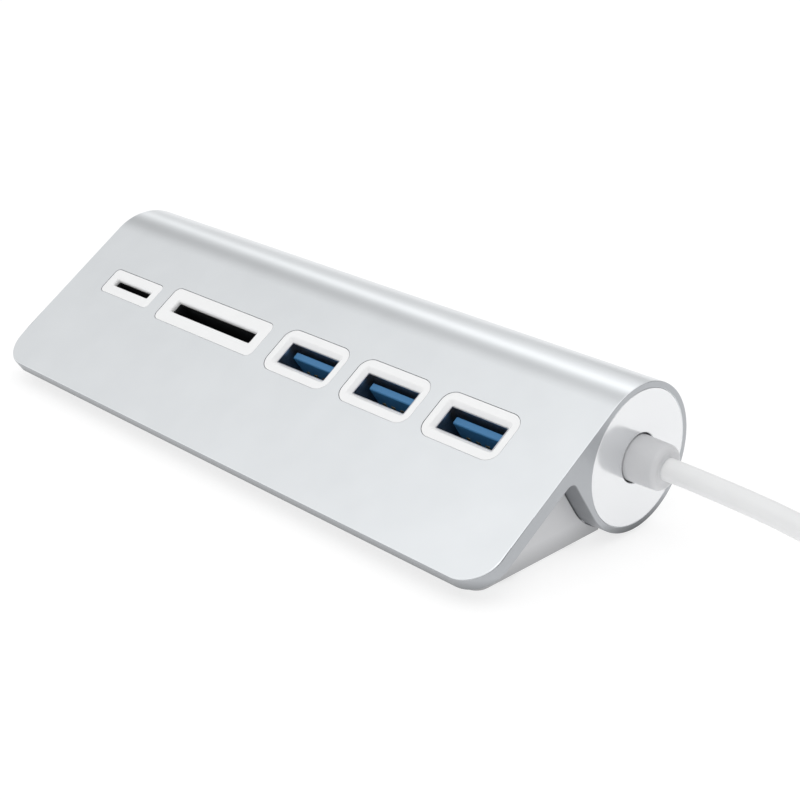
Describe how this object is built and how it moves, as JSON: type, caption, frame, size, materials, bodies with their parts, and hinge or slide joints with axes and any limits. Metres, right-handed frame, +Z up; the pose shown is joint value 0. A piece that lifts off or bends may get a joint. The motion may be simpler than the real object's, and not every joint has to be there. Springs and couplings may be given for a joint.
{
  "type": "usb hub",
  "caption": "Sloped desktop USB hub with card slots: a metal plate running into a round rear tube, a wedge base, and a short cable with a plug.",
  "frame": {"origin": "middle of the hub's footprint, on the surface under its feet, measured without the cable", "axes": "+X along the tube towards the cable end, -Y to the plate's low front edge, +Z up"},
  "size_m": [0.2441, 0.0725, 0.0276],
  "materials": {
    "aluminium": "satin anodised",
    "white_gloss": "gloss moulded",
    "grey_plastic": "satin moulded",
    "blue_plastic": "satin moulded",
    "steel": "nickel plated",
    "black_plastic": "satin moulded",
    "circuit_board": "solder mask",
    "bare_metal": "bright",
    "rubber": "matt",
    "cable_sheath": "soft satin",
    "strap": "hook and loop weave"
  },
  "bodies": {
    "hub": {"top_housing": "aluminium", "base_cover": "grey_plastic", "left_end_cap": "white_gloss", "right_end_cap": "white_gloss", "cable_boot": "cable_sheath", "sd_bezel": "white_gloss", "micro_sd_bezel": "white_gloss", "sd_socket": "black_plastic", "micro_sd_socket": "black_plastic", "sd_socket_cover": "steel", "micro_sd_socket_cover": "steel", "micro_sd_spring": "steel", "main_board": "circuit_board", "hub_chip": "black_plastic", "card_reader_chip": "black_plastic", "voltage_regulator": "black_plastic", "clock_crystal": "bare_metal", "wire_connector": "white_gloss", "inner_cable": "cable_sheath", "cord_run": "cable_sheath", "cord_coil": "cable_sheath", "cord_tail": "cable_sheath", "cord_tie": "strap", "plug_body": "cable_sheath", "plug_shell": "steel", "plug_tongue": "blue_plastic", "usb_bezel_1": "white_gloss", "usb_shell_1": "steel", "usb_tongue_1": "blue_plastic", "power_capacitor_1": "bare_metal", "usb_bezel_2": "white_gloss", "usb_shell_2": "steel", "usb_tongue_2": "blue_plastic", "power_capacitor_2": "bare_metal", "usb_bezel_3": "white_gloss", "usb_shell_3": "steel", "usb_tongue_3": "blue_plastic", "power_capacitor_3": "bare_metal", "rubber_foot_1": "rubber", "cover_screw_1": "steel", "rubber_foot_2": "rubber", "cover_screw_2": "steel", "rubber_foot_3": "rubber", "cover_screw_3": "steel", "rubber_foot_4": "rubber", "cover_screw_4": "steel"},
    "card_carriage": {"micro_sd_carriage": "black_plastic"}
  },
  "joints": [
    {"name": "micro_sd_push", "type": "slide", "parent": "hub", "child": "card_carriage", "axis": [0, 0.5505, -0.8348], "range_m": [0, 0.0026], "stiffness_N_per_m": 350, "springref_m": -0.001, "deforming": ["micro_sd_spring"]}
  ]
}
